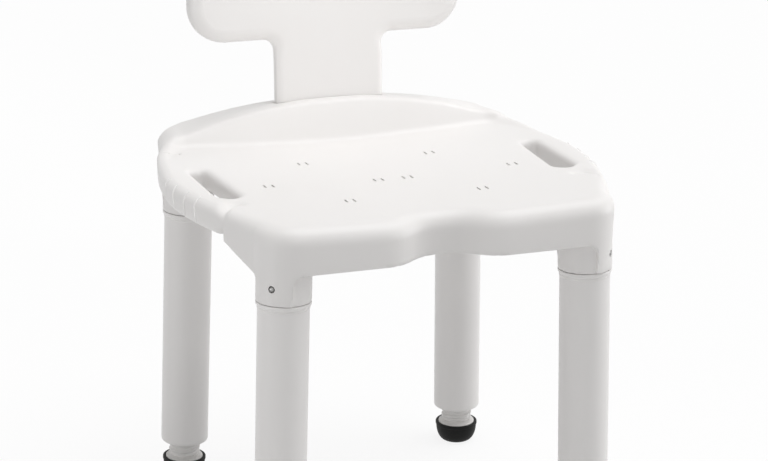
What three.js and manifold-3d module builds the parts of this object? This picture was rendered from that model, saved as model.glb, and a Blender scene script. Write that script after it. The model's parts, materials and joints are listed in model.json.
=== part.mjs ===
// Shower chair: a moulded seat with hand-hold slots, a lift-out backrest and four legs whose
// rubber feet screw up and down. Millimetres, +Z up, floor at z = 0, the sitter faces -Y.
// Left and right are the sitter's, so left is +X.
import * as THREE from 'three';
import { mergeVertices } from 'three/addons/utils/BufferGeometryUtils.js';
import Module from 'manifold-3d';

const wasm = await Module();
wasm.setup();

// ---- Driving dimensions ----
const seatHeight = 373;              // floor to the top of the deck
const seatWidth = 442;               // across the two grip bars
const seatFront = 188;               // front edge of the seat, ahead of the mid line between the legs
const seatBack = 188;                // rear edge of the seat, behind the same line
const frontShoulder = 33;            // how much narrower each side is at the front corners
const rearShoulder = 35;             // and at the rear corners
const frontCornerRadius = 35;
const rearCornerRadius = 31;
const recessDepth = 24;              // wave in the middle of the front edge
const recessHalfWidth = 66;
const waistFront = 20;               // how far the side draws in at the front end of a grip bar
const waistRear = 15;                // and at its rear end
const waistShare = 0.3;              // share of it half way to the bar's widest place

const wall = 3.5;                    // moulded wall of the seat
const deckThickness = 4;
const deckEdgeRadius = 9;
const skirtDepth = 43;               // deck top to the lower edge of the front and rear skirts
const sideSkirtRise = 12;            // how much the side skirt climbs towards the grip bar
const sideSlope = 35;                // length over which it climbs

const gripDepth = 24;                // height of a grip bar
const gripStart = -101;              // front end of the open side under the bar
const gripEnd = 100;                 // rear end of it
const gripWidth = 24;                // across a grip bar at the slot
const slotWidth = 28;                // across a hand-hold slot
const slotFront = -57;
const slotBack = 43;
const slotTaper = 2;                 // how much its front end is narrower, each side
const grooveReach = 48;              // how far the groove ahead of the bar runs inboard
const grooveWidth = 5;

const rimHeight = 36;                // raised rear rim above the deck, in the middle
const rimEndHeight = 14;             // and at its two ends
const rimDepth = 69;                 // inner face of the rim to the seat's rear edge
const rimSpanMargin = 26;            // how far inside the rear corners the rim's arch ends
const rimPower = 2.2;
const rimReturn = 88;                // how far forward of the rear edge the rim's ends stop

const ribThickness = 3;
const ribDepth = 19;
const ribX = [42, 98];
const ribY = [-70, 2, 72];

const drainLength = 9.5;
const drainWidth = 2.4;
const drainPitch = 8.5;
const drainMargin = 39;              // the outer drains lie this far inboard of the hand-hold slots

const socketDrop = 73;               // deck top to the sockets' lower ends
const socketWall = 3.5;
const frontLegMargin = 4.5;          // outside of a front socket to the seat's side
const rearLegMargin = 5.7;           // outside of a rear socket to the seat's side
const endLegMargin = 3.9;            // outside of a socket to the seat's front or rear edge
const splayX = 1.14;                 // degrees outwards
const splayY = 0.97;                 // degrees to the front or the rear

const tubeRadius = 25;
const tubeWall = 3;
const tubeRise = 40.6;               // floor to the tube's rounded lower end, along the leg
const spigotStep = 2;                // how much thinner the tube is inside its socket
const spigotLength = 55;             // part of the tube inside its socket
const collarHeight = 3;
const lipThickness = 6;              // floor of the tube's rounded lower end
const bushLength = 32;

const threadRadius = 16.5;
const threadDepth = 1.9;
const threadPitch = 6.35;
const threadTurns = 25;
const flangeLip = 3.25;              // how far the stem's flange stands out past the thread
const flangeThickness = 5;
const flangeHeight = 23.5;           // floor to the top of the stem's flange
const stemPinRadius = 6;
const stemPinLength = 9;
const stemWall = 4.6;                // stem's hollow to the root of its thread

const footRim = 3.25;                // rubber round the flange
const footHeight = 22;
const footContactRadius = 12.5;

const buttonRadius = 3;
const buttonHeadRadius = 4.5;
const buttonHeadDepth = 2.2;
const buttonHeight = 16.5;           // above the socket's lower end
const buttonTravel = 5.2;
const springThickness = 0.8;
const springWidth = 9;
const springHeight = 22;             // straight part of the spring's arms above the button

const backWidth = 293;
const backBarHeight = 160;
const backBarBottom = 103;           // above the deck
const backCornerRadius = 38;
const backThickness = 29;
const backEdge = 6;                  // bevel round the bar, front and rear
const backWall = 3.5;
const backLean = 4;                  // degrees
const neckWidth = 108;
const neckThickness = 18;            // its front face is flush with the bar's
const neckEdge = 3;
const neckFillet = 12;
const neckInset = 44;                // seat's rear edge to the neck's front face, at the rim's top
const neckDepth = 58;                // length of the neck inside the seat, below the rim's top

const over = 5;                      // how far a cutting solid runs past what it cuts
const gap = 0.3;                     // between touching pieces
const runningGap = 0.4;              // round pieces that slide

const roundSegments = 20;
const footSegments = 20;
const threadSegments = 10;

const plastic = { color: 0xf3f3f0, roughness: 0.42, metalness: 0 };
const tubePlastic = { color: 0xeeeeec, roughness: 0.38, metalness: 0 };
const stemPlastic = { color: 0xe6e6e3, roughness: 0.45, metalness: 0 };
const rubber = { color: 0x1e1f1d, roughness: 0.62, metalness: 0 };
const steel = { color: 0xb9bab8, roughness: 0.3, metalness: 1 };

// ---- Solids ----
function solidOf(geometry) {
  const bare = geometry.index ? geometry.toNonIndexed() : geometry.clone();
  bare.deleteAttribute('normal');
  bare.deleteAttribute('uv');
  const merged = mergeVertices(bare, 1e-4);
  return new wasm.Manifold(new wasm.Mesh({
    numProp: 3,
    vertProperties: Float32Array.from(merged.attributes.position.array),
    triVerts: Uint32Array.from(merged.index.array),
  }));
}

function geometryOf(solid) {
  const mesh = solid.getMesh();
  const geometry = new THREE.BufferGeometry();
  geometry.setAttribute('position', new THREE.BufferAttribute(mesh.vertProperties, 3));
  geometry.setIndex(new THREE.BufferAttribute(mesh.triVerts, 1));
  geometry.computeVertexNormals();
  return geometry;
}

function unite(solids) {
  return solids.reduce((sum, solid) => sum.add(solid));
}

// An outline in plan, standing from one height to another.
function prism(points, bottom, top) {
  const geometry = new THREE.ExtrudeGeometry(new THREE.Shape(points), {
    depth: top - bottom, bevelEnabled: false,
  });
  return solidOf(geometry.translate(0, 0, bottom));
}

// The same with a rounded top edge; the lower edge is left square.
function roundedPrism(points, bottom, top, radius) {
  const geometry = new THREE.ExtrudeGeometry(new THREE.Shape(points), {
    depth: top - bottom - radius, bevelThickness: radius, bevelSize: radius,
    bevelOffset: -radius, bevelSegments: 2,
  });
  const block = solidOf(geometry.translate(0, 0, bottom));
  return block.subtract(box(-seatWidth, seatWidth, -seatWidth, seatWidth, bottom - 2 * radius, bottom));
}

function box(x0, x1, y0, y1, z0, z1) {
  const geometry = new THREE.BoxGeometry(x1 - x0, y1 - y0, z1 - z0);
  return solidOf(geometry.translate((x0 + x1) / 2, (y0 + y1) / 2, (z0 + z1) / 2));
}

// A profile of [radius, height] points turned about Z.
function turned(profile, segments = roundSegments) {
  const points = profile.map(([radius, height]) => new THREE.Vector2(radius, height));
  return new THREE.LatheGeometry(points, segments).rotateX(Math.PI / 2);
}

// A profile in the plane of Y and Z, extruded along X.
function alongX(points, x0, x1) {
  const shape = new THREE.Shape(points.map(([y, z]) => new THREE.Vector2(y, z)));
  const geometry = new THREE.ExtrudeGeometry(shape, { depth: x1 - x0, bevelEnabled: false });
  const basis = new THREE.Matrix4().makeBasis(
    new THREE.Vector3(0, 1, 0), new THREE.Vector3(0, 0, 1), new THREE.Vector3(1, 0, 0));
  return solidOf(geometry.applyMatrix4(basis).translate(x0, 0, 0));
}

// A profile in the plane of X and Z, extruded along Y.
function alongY(points, y0, y1) {
  const geometry = new THREE.ExtrudeGeometry(new THREE.Shape(points), {
    depth: y1 - y0, bevelEnabled: false,
  });
  return solidOf(geometry.rotateX(Math.PI / 2).translate(0, y1, 0));
}

function mirrored(points) {
  return points.map((p) => new THREE.Vector2(-p.x, p.y)).reverse();
}

// A closed outline moved inwards by a distance.
function insetLoop(points, distance) {
  return points.map((point, i) => {
    const before = points[(i + points.length - 1) % points.length];
    const after = points[(i + 1) % points.length];
    const along = after.clone().sub(before).normalize();
    return new THREE.Vector2(point.x - along.y * distance, point.y + along.x * distance);
  });
}

// ---- Legs: where each stands and how it leans ----
const radians = THREE.MathUtils.degToRad;
const frontHalfWidth = seatWidth / 2 - frontShoulder;
const rearHalfWidth = seatWidth / 2 - rearShoulder;
const spigotRadius = tubeRadius - spigotStep;
const socketBore = spigotRadius + gap;
const socketRadius = socketBore + socketWall;
const front = {
  x: frontHalfWidth - frontLegMargin - socketRadius,
  y: endLegMargin + socketRadius - seatFront,
  room: socketRadius + Math.min(frontLegMargin, endLegMargin),
  sideY: -1,
};
const rear = {
  x: rearHalfWidth - rearLegMargin - socketRadius,
  y: seatBack - endLegMargin - socketRadius,
  room: socketRadius + Math.min(rearLegMargin, endLegMargin),
  sideY: 1,
};
const legs = [
  { name: 'front_left', sideX: 1, ...front },
  { name: 'front_right', sideX: -1, ...front },
  { name: 'rear_left', sideX: 1, ...rear },
  { name: 'rear_right', sideX: -1, ...rear },
];

const socketHeight = seatHeight - socketDrop;

// A leg's frame has its origin at the socket's lower end and its Z up along the leg.
function legMatrix(leg) {
  const up = new THREE.Vector3(
    -leg.sideX * Math.tan(radians(splayX)), -leg.sideY * Math.tan(radians(splayY)), 1).normalize();
  const turn = new THREE.Quaternion().setFromUnitVectors(new THREE.Vector3(0, 0, 1), up);
  const place = new THREE.Vector3(leg.sideX * leg.x, leg.y, socketHeight);
  return new THREE.Matrix4().compose(place, turn, new THREE.Vector3(1, 1, 1));
}

// ---- Seat ----
const skirtBottom = seatHeight - skirtDepth;
const gripBottom = seatHeight - gripDepth;
const slotOuter = seatWidth / 2 - gripWidth;
const slotInner = slotOuter - slotWidth;
const rimFront = seatBack - rimDepth;
const rimMouth = seatBack - rimReturn;
const rimSpan = rearHalfWidth - rimSpanMargin;
const drainPlaces = [[15.5, -36.5], [69, 38], [69.5, -101], [slotInner - drainMargin, -35]];

function halfOutline() {
  const path = new THREE.Path();
  const cornerX = frontHalfWidth - frontCornerRadius;
  const cornerY = seatFront - frontCornerRadius;
  const half = seatWidth / 2;
  const rearX = rearHalfWidth - rearCornerRadius;
  const rearY = seatBack - rearCornerRadius;
  path.moveTo(0, recessDepth - seatFront);
  path.bezierCurveTo(recessHalfWidth / 2, recessDepth - seatFront,
    recessHalfWidth / 2, -seatFront, recessHalfWidth, -seatFront);
  path.lineTo(cornerX, -seatFront);
  path.absarc(cornerX, -cornerY, frontCornerRadius, -Math.PI / 2, 0);
  path.splineThru([
    new THREE.Vector2(half - waistFront, gripStart),
    new THREE.Vector2(half - waistFront * waistShare, gripStart / 2),
    new THREE.Vector2(half, 0),
    new THREE.Vector2(half - waistRear * waistShare, gripEnd / 2),
    new THREE.Vector2(half - waistRear, gripEnd),
    new THREE.Vector2((half - waistRear + 2 * rearHalfWidth) / 3, (gripEnd + rearY) / 2),
    new THREE.Vector2(rearHalfWidth, rearY),
  ]);
  path.absarc(rearX, rearY, rearCornerRadius, 0, Math.PI / 2);
  path.lineTo(0, seatBack);
  return path.getPoints(5);
}

function withoutRepeats(points) {
  return points.filter((p, i) => i === 0 || p.distanceTo(points[i - 1]) > 0.5);
}

function seatOutline() {
  const right = withoutRepeats(halfOutline());
  return right.concat(mirrored(right).slice(1, -1));
}

function rimTop(x) {
  const share = Math.min(1, Math.abs(x) / rimSpan);
  return seatHeight + rimEndHeight + (rimHeight - rimEndHeight) * (1 - share ** rimPower);
}

// Everything under the rim's arched top, lowered by a wall where the inside is wanted.
function rimArch(lower, front) {
  const half = seatWidth / 2 + over;
  const low = skirtBottom - over;
  const points = [new THREE.Vector2(-half, low), new THREE.Vector2(half, low)];
  const steps = 16;
  for (let i = 0; i <= steps; i += 1) {
    const x = half - (2 * half * i) / steps;
    points.push(new THREE.Vector2(x, rimTop(x) - lower));
  }
  const arch = alongY(points, rimMouth, seatBack + over);
  const mouth = [
    new THREE.Vector2(-half, rimMouth - 1), new THREE.Vector2(half, rimMouth - 1),
    new THREE.Vector2(half, rimMouth + lower), new THREE.Vector2(rearHalfWidth, rimMouth + lower),
    new THREE.Vector2(rimSpan, front), new THREE.Vector2(-rimSpan, front),
    new THREE.Vector2(-rearHalfWidth, rimMouth + lower), new THREE.Vector2(-half, rimMouth + lower),
  ];
  return arch.subtract(prism(mouth, low - over, seatHeight + 2 * rimHeight));
}

// Cuts the side skirts away under the grip bars.
function sideOpening() {
  const low = skirtBottom - over;
  const profile = [
    [gripStart - sideSlope, low], [gripStart - sideSlope, skirtBottom],
    [gripStart, skirtBottom + sideSkirtRise],
    [gripStart, gripBottom], [gripEnd, gripBottom], [gripEnd + sideSlope, skirtBottom],
    [gripEnd + sideSlope, low],
  ];
  const reach = seatWidth / 2 + over;
  const inboard = slotInner + wall;
  return alongX(profile, inboard, reach).add(alongX(profile, -reach, -inboard));
}

function slotPoints(grow) {
  const path = new THREE.Path();
  const outer = slotOuter + grow;
  const inner = slotInner - grow;
  const front = slotFront - grow;
  const back = slotBack + grow;
  const round = (outer - inner) / 2;
  const nose = round - slotTaper;
  path.absarc(inner + nose, front + nose, nose, Math.PI, 2 * Math.PI - 0.6);
  path.absarc(outer - round, back - round, round, 0, Math.PI);
  return withoutRepeats(path.getPoints(5));
}

// A wedge from the outer edge to a tip, between the grip bar and the front corner.
function grooveCut() {
  const outer = seatWidth / 2 + over;
  const tip = seatWidth / 2 - grooveReach;
  const wedge = [
    new THREE.Vector2(tip, gripStart + 2 * grooveWidth),
    new THREE.Vector2(outer, gripStart - 2 * grooveWidth),
    new THREE.Vector2(outer, gripStart),
  ];
  return prism(wedge, gripBottom - over, seatHeight + over);
}

function bothSides(make) {
  const solid = make();
  return solid.add(solid.mirror([1, 0, 0]));
}

// The outer half of a socket runs flush into the skirt, so it widens upwards.
function cornerBlock(leg) {
  const top = socketDrop - deckEdgeRadius;
  const flare = leg.room + top * Math.tan(radians(Math.min(splayX, splayY))) - gap;
  const cone = solidOf(turned([[0, 0], [socketRadius, 0], [flare, top], [0, top]]));
  const far = 2 * flare;
  const quarter = box(
    Math.min(0, leg.sideX * far), Math.max(0, leg.sideX * far),
    Math.min(0, leg.sideY * far), Math.max(0, leg.sideY * far), -1, top + 1);
  return cone.intersect(quarter);
}

function sockets(make) {
  return unite(legs.map((leg) => make(leg).transform(legMatrix(leg).elements)));
}

function socketOuter(leg) {
  const top = socketDrop - deckThickness / 2;
  const post = solidOf(turned([[0, 0], [socketRadius, 0], [socketRadius, top], [0, top]]));
  return post.add(cornerBlock(leg));
}

function socketInner() {
  const top = socketDrop - deckThickness - 1;
  return solidOf(turned([[0, -over], [socketBore, -over], [socketBore, top], [0, top]]));
}

// A hole across the socket's outer wall, on the diagonal that faces the corner.
function buttonHole(leg) {
  const hole = new THREE.CylinderGeometry(buttonRadius + gap, buttonRadius + gap, 30, 12);
  hole.rotateZ(-Math.PI / 2).translate(spigotRadius + 10, 0, buttonHeight);
  return solidOf(hole.rotateZ(Math.atan2(leg.sideY, leg.sideX)));
}

function ribs() {
  const top = seatHeight - deckThickness / 2;
  const bottom = seatHeight - ribDepth;
  const reach = slotInner - wall;
  const front = recessDepth - seatFront;
  const along = ribX.flatMap((x) => [x, -x]).map((x) => box(
    x - ribThickness / 2, x + ribThickness / 2, front, rimFront + wall, bottom, top));
  const across = ribY.map((y) => box(
    -reach, reach, y - ribThickness / 2, y + ribThickness / 2, bottom, top));
  return unite(along.concat(across));
}

// A slot with round ends along Y, through the deck.
function drainSlot(x, y) {
  const path = new THREE.Path();
  const round = drainWidth / 2;
  const straight = drainLength / 2 - round;
  path.absarc(x, y + straight, round, 0, Math.PI);
  path.absarc(x, y - straight, round, Math.PI, 2 * Math.PI);
  return prism(path.getPoints(3), seatHeight - 2 * deckThickness, seatHeight + deckThickness);
}

function drainSlots() {
  return unite(drainPlaces.flatMap(([x, y]) => [-1, 1].flatMap((side) => [-0.5, 0.5].map(
    (half) => drainSlot(side * x + half * drainPitch, y)))));
}

// ---- Backrest: its frame leans back about a line on the neck's front face ----
const backPivot = new THREE.Vector3(0, seatBack - neckInset, seatHeight + rimHeight);

function backMatrix() {
  const turn = new THREE.Quaternion().setFromAxisAngle(new THREE.Vector3(1, 0, 0), -radians(backLean));
  return new THREE.Matrix4().compose(backPivot, turn, new THREE.Vector3(1, 1, 1));
}

// The bar's outline in X and Z, with Z measured from the rim's top.
function barOutline(inset) {
  const low = backBarBottom - rimHeight + inset;
  const high = backBarBottom - rimHeight + backBarHeight - inset;
  const half = backWidth / 2 - inset;
  const corner = backCornerRadius - inset;
  const path = new THREE.Path();
  path.absarc(half - corner, low + corner, corner, -Math.PI / 2, 0);
  path.absarc(half - corner, high - corner, corner, 0, Math.PI / 2);
  const right = withoutRepeats(path.getPoints(6));
  return right.concat(mirrored(right));
}

// The neck flares into the bar, and ends half way up inside it.
function neckOutline(inset, bottom) {
  const low = backBarBottom - rimHeight + inset;
  const half = neckWidth / 2 - inset;
  const fillet = neckFillet + inset;
  const path = new THREE.Path();
  path.moveTo(half, bottom);
  path.lineTo(half, low - fillet);
  path.absarc(half + fillet, low - fillet, fillet, Math.PI, Math.PI / 2, true);
  path.lineTo(half + fillet, low + backBarHeight / 2);
  const right = withoutRepeats(path.getPoints(6));
  return right.concat(mirrored(right));
}

// An outline in X and Z with both its faces bevelled, from Y = 0 back to its thickness.
function bevelledPlate(points, thickness, edge) {
  const geometry = new THREE.ExtrudeGeometry(new THREE.Shape(points), {
    depth: thickness - 2 * edge, bevelThickness: edge, bevelSize: edge, bevelOffset: -edge,
    bevelSegments: 1,
  });
  return solidOf(geometry.rotateX(Math.PI / 2).translate(0, thickness - edge, 0));
}

// A hollow moulding, open only at the foot of the neck.
function backrest() {
  const bar = bevelledPlate(barOutline(0), backThickness, backEdge);
  const neck = bevelledPlate(neckOutline(0, -neckDepth), neckThickness, neckEdge);
  const inBar = bevelledPlate(
    barOutline(backWall), backThickness - 2 * backWall, backEdge - backWall / 2);
  const inNeck = alongY(neckOutline(backWall, -2 * neckDepth), 0, neckThickness - 2 * backWall);
  return bar.add(neck).subtract(inBar.add(inNeck).translate([0, backWall, 0]));
}

// The receiver that the neck drops into, hanging under the rim.
function receiver(grow, top) {
  const half = neckWidth / 2 + runningGap + grow;
  const bottom = -neckDepth - gap - grow;
  return box(-half, half, -runningGap - grow, neckThickness + runningGap + grow, bottom, top);
}

function seat() {
  const outline = seatOutline();
  const inside = insetLoop(outline, wall);
  const body = roundedPrism(outline, skirtBottom, seatHeight, deckEdgeRadius);
  const rim = roundedPrism(outline, skirtBottom, seatHeight + rimHeight + over, wall)
    .intersect(rimArch(0, rimFront));
  const hollow = prism(inside, skirtBottom - over, seatHeight - deckEdgeRadius)
    .add(prism(insetLoop(outline, deckEdgeRadius), seatHeight - deckEdgeRadius - 1,
      seatHeight - deckThickness));
  const rimHollow = prism(insetLoop(outline, wall + 1), skirtBottom - over, seatHeight + rimHeight)
    .intersect(rimArch(wall, rimFront + wall));
  const slots = bothSides(() => prism(slotPoints(0), skirtBottom, seatHeight + over));
  const slotWalls = bothSides(() => prism(slotPoints(wall), gripBottom, seatHeight - 1));
  const barEnds = bothSides(() => prism(insetLoop(outline, 1), gripBottom, seatHeight - 1)
    .intersect(box(slotInner + 5, seatWidth, gripStart + 1, slotFront - wall + 1, 0, seatHeight)));
  const lean = backMatrix().elements;
  const pocket = receiver(0, rimHeight);
  const shell = body.add(rim).subtract(hollow).subtract(rimHollow).subtract(sideOpening());
  const solid = unite([
    shell, slotWalls, barEnds, ribs().intersect(prism(inside, skirtBottom, seatHeight)),
    sockets(socketOuter), receiver(wall, 0).transform(lean).intersect(rimArch(1, rimFront)),
  ]);
  return solid.subtract(slots).subtract(bothSides(grooveCut)).subtract(drainSlots())
    .subtract(sockets(socketInner)).subtract(sockets(buttonHole))
    .subtract(pocket.transform(lean));
}

// ---- Legs ----
const floorDrop = socketHeight / Math.cos(radians(Math.hypot(splayX, splayY)));
const flangeTop = flangeHeight - floorDrop;
const tubeBottom = tubeRise - floorDrop;
const flangeRadius = threadRadius + flangeLip;
const footRadius = flangeRadius + footRim;

function legTube(leg) {
  const inner = tubeRadius - tubeWall;
  const bottom = tubeBottom;
  const mouth = threadRadius + 2 * runningGap;
  const round = Math.min(lipThickness, (tubeRadius - mouth) * 0.8);
  const shell = turned([
    [mouth, bottom], [tubeRadius - round, bottom],
    [tubeRadius - round / 4, bottom + round / 4], [tubeRadius, bottom + round],
    [tubeRadius, -collarHeight - 2], [socketRadius, -collarHeight], [socketRadius, -gap],
    [spigotRadius, -gap], [spigotRadius, spigotLength], [spigotRadius - tubeWall, spigotLength],
    [spigotRadius - tubeWall, 0], [inner, -tubeWall - 5], [inner, bottom + lipThickness],
    [mouth, bottom + lipThickness], [mouth, bottom],
  ]);
  return solidOf(shell).subtract(buttonHole(leg));
}

// A threaded bush lies on the tube's floor and carries the stem.
function threadBush() {
  const outer = tubeRadius - tubeWall - gap;
  const bottom = tubeBottom + lipThickness + gap;
  const bore = threadRadius + runningGap;
  return turned([
    [bore, bottom], [outer, bottom], [outer, bottom + bushLength], [bore, bottom + bushLength],
    [bore, bottom],
  ]);
}

function footStem() {
  const root = threadRadius - threadDepth;
  const base = flangeTop - flangeThickness;
  const profile = [
    [0, base - stemPinLength], [stemPinRadius, base - stemPinLength], [stemPinRadius, base],
    [flangeRadius, base], [flangeRadius, flangeTop - 1], [threadRadius, flangeTop + 1],
  ];
  for (let turn = 0; turn < threadTurns; turn += 1) {
    const start = flangeTop + 2 + turn * threadPitch;
    profile.push([root, start], [threadRadius, start + threadPitch / 2]);
  }
  const top = flangeTop + 2 + threadTurns * threadPitch;
  profile.push([root, top], [root - stemWall, top], [root - stemWall, flangeTop], [0, flangeTop]);
  return turned(profile, threadSegments);
}

// The foot is trimmed level, so it rests flat although its leg leans.
function rubberFoot(leg) {
  const base = flangeTop - flangeThickness - gap;
  const seatRadius = (flangeRadius + gap) / Math.cos(Math.PI / footSegments);
  const top = footHeight - floorDrop;
  const bulge = footHeight - 4;
  const profile = [[0, -floorDrop - 2], [footContactRadius, -floorDrop - 2]];
  const steps = 4;
  for (let i = 0; i <= steps; i += 1) {
    const angle = (Math.PI / 2) * (i / steps);
    profile.push([
      footContactRadius + (footRadius - footContactRadius) * Math.sin(angle),
      bulge - floorDrop - bulge * Math.cos(angle),
    ]);
  }
  const pin = stemPinRadius + gap;
  profile.push([footRadius, top - 1], [footRadius - 1, top], [seatRadius, top], [seatRadius, base]);
  profile.push([pin, base], [pin, base - stemPinLength], [0, base - stemPinLength]);
  const bowl = solidOf(turned(profile, footSegments)).transform(legMatrix(leg).elements);
  const far = 2 * seatWidth;
  const level = bowl.subtract(box(-far, far, -far, far, -far, 0));
  return level.transform(legMatrix(leg).invert().elements);
}

// Built along +X in the leg's frame: a flat head inside the tube and a domed shank through both walls.
function snapButton() {
  const inner = spigotRadius - tubeWall;
  const head = inner - 1 - buttonHeadDepth;
  const tip = spigotRadius + buttonTravel - runningGap;
  const profile = [
    [0, head], [buttonHeadRadius, head], [buttonHeadRadius, head + buttonHeadDepth],
    [buttonRadius, head + buttonHeadDepth], [buttonRadius, tip - 1], [buttonRadius * 0.7, tip - 0.3],
    [0, tip],
  ];
  return turned(profile, threadSegments).rotateY(Math.PI / 2).translate(0, 0, buttonHeight);
}

// A bent strip: one arm behind the button, a round top, the other arm on the tube's far wall.
function buttonSpring() {
  const inner = spigotRadius - tubeWall;
  const near = inner - 1 - buttonHeadDepth - gap;
  const far = Math.sqrt(inner ** 2 - (springWidth / 2) ** 2) - gap;
  const middle = (near - far) / 2;
  const outerRadius = (near + far) / 2;
  const bendHeight = buttonHeight + springHeight / 2;
  const shape = new THREE.Shape();
  shape.moveTo(-far, -buttonHeadRadius + 1);
  shape.lineTo(-far + springThickness, -buttonHeadRadius + 1);
  shape.absarc(middle, bendHeight, outerRadius - springThickness, Math.PI, 0, true);
  shape.lineTo(near - springThickness, buttonHeight - buttonHeadRadius);
  shape.lineTo(near, buttonHeight - buttonHeadRadius);
  shape.absarc(middle, bendHeight, outerRadius, 0, Math.PI);
  const strip = new THREE.ExtrudeGeometry(shape, {
    depth: springWidth, bevelEnabled: false, curveSegments: 8,
  });
  return strip.translate(0, 0, -springWidth / 2).rotateX(Math.PI / 2);
}

// ---- Assembly ----
function piece(name, geometry, finish) {
  const mesh = new THREE.Mesh(geometry, new THREE.MeshStandardMaterial(finish));
  mesh.name = name;
  return mesh;
}

function placed(matrix, ...children) {
  const group = new THREE.Group();
  matrix.decompose(group.position, group.quaternion, group.scale);
  group.add(...children);
  return group;
}

const chair = new THREE.Group();
chair.add(piece('seat_shell', geometryOf(seat()), plastic));
chair.add(placed(backMatrix(), piece('backrest', geometryOf(backrest()), plastic)));
for (const leg of legs) {
  const corner = Math.atan2(leg.sideY, leg.sideX);
  const button = piece(`snap_button_${leg.name}`, snapButton(), steel);
  const spring = piece(`button_spring_${leg.name}`, buttonSpring(), steel);
  button.rotation.z = corner;
  spring.rotation.z = corner;
  chair.add(placed(legMatrix(leg),
    piece(`leg_tube_${leg.name}`, geometryOf(legTube(leg)), tubePlastic),
    piece(`thread_bush_${leg.name}`, threadBush(), stemPlastic),
    piece(`foot_stem_${leg.name}`, footStem(), stemPlastic),
    piece(`rubber_foot_${leg.name}`, geometryOf(rubberFoot(leg)), rubber),
    button, spring));
}

export default chair;
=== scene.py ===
import json
import math

import bmesh
import bpy
import numpy as np
from mathutils import Matrix, Vector


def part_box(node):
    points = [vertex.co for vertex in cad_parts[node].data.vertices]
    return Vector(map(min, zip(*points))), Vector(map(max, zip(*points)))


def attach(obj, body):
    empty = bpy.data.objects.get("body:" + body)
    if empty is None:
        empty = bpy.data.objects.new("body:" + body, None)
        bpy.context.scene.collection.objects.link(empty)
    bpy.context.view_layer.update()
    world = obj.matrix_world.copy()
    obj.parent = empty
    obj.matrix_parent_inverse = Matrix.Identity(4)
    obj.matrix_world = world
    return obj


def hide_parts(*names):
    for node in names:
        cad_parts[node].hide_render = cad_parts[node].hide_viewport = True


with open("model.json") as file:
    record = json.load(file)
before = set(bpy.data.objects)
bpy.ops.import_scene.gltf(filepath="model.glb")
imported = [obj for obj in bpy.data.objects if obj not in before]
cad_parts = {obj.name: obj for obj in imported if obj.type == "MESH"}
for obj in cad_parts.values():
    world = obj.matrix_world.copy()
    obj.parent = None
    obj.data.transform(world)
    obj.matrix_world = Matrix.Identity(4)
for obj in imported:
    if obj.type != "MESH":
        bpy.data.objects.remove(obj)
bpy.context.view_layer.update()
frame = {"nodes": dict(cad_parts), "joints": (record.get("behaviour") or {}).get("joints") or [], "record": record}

# Shower chair. Lengths named here are in millimetres and are written to the meshes in metres.
# Left is the sitter's, so it is +X; the sitter faces -Y; the floor is z = 0.
MM = 0.001
LEG_NAMES = ["front_left", "front_right", "rear_left", "rear_right"]


def box_mm(node):
    low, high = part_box(node)
    return np.array(low) / MM, np.array(high) / MM


def mount_mm(name):
    found = next(m for m in frame["record"]["mounts"] if m["name"] == name)
    return np.array(found["pos_m"]) / MM


def joint(name):
    return next(j for j in frame["joints"] if j["name"] == name)


# ---- Sizes: the seat ----
SEAT_LOW, SEAT_HIGH = box_mm("seat_shell")
DECK = mount_mm("seat_deck")[2]
HALF_WIDTH = 221.0          # across one side, at the middle of a grip bar
FRONT_EDGE = SEAT_LOW[1]
REAR_EDGE = SEAT_HIGH[1]
FRONT_SHOULDER = 35.5       # how much narrower each side is at the front corners
REAR_SHOULDER = 35
FRONT_CORNER = 36           # corner radii in plan
REAR_CORNER = 35
RECESS_DEPTH = 24           # the wave in the front edge
RECESS_HALF_WIDTH = 66
WAIST_FRONT = 20            # how far the side draws in at the ends of a grip bar
WAIST_REAR = 17
WAIST_SHARE = 0.3
DRAFT = 0.035               # the skirts draw in by this much for each mm down
REAR_DRAFT = 0.075          # and at the rear corners
FRONT_DRAFT = 0.012
REAR_DRAFT_ZONE = (60, 120)       # y over which the draft changes
FRONT_DRAFT_ZONE = (160, 184)     # and -y

DISH_DEPTH = 1.6            # the deck is lowest along its middle
DISH_SLOPE = 0.034
DISH_WIDTH = 30
DECK_THICKNESS = 4
RIM_THICKNESS = 4           # how much thicker the top is under the rim
RIM_THICKNESS_ZONE = (70, 100)
WALL = 5
CAVITY_TIGHTER = 3          # how much less it is rounded than the outside
INSIDE_CLEAR = 2            # what stands inside stops this far below the top and off the sides
EDGE_RADIUS = 11            # rounding from the deck to the skirts
LOBE_RADIUS = 17            # the same at the front
LOBE_ZONE = (110, 165)      # -y over which it grows
REAR_RADIUS = 19            # and at the rear corners
REAR_ZONE_Y = (80, 150)
REAR_ZONE_X = (60, 150)

RIM_END = 15.5              # height of the raised rim above the deck at its ends
RIM_RISE = 24               # how much higher it is in the middle
RIM_SPAN = 160
RIM_POWER = 2.2
RIM_FOOT = REAR_EDGE - 71   # foot of the rim's inner wall
RIM_MOUTH = 17              # how far the foot comes forward at the ends
RIM_FALL = 0.36             # share of the rise that is lost again towards the rear edge
RIM_FALL_START = 46         # how far ahead of the rear edge that begins
RIM_FALL_LENGTH = 45
RIM_CREST_ROUND = 3
RIM_WALL_ANGLE = math.radians(73)     # the inner wall's slope in the middle
RIM_SIDE_ANGLE = math.radians(60)
RIM_SIDE_ZONE = (60, 165)
RIM_END_ANGLE = math.radians(25)
RIM_END_ZONE = (RIM_SPAN + 12, RIM_SPAN + 48)
RIM_MOUTH_ZONE = (RIM_SPAN + 5, RIM_SPAN + 45)
RIM_ROUND = (4, 9)          # along its top edge, in the middle and at the ends
RIM_FILLET = (5, 20)        # along its foot

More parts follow.
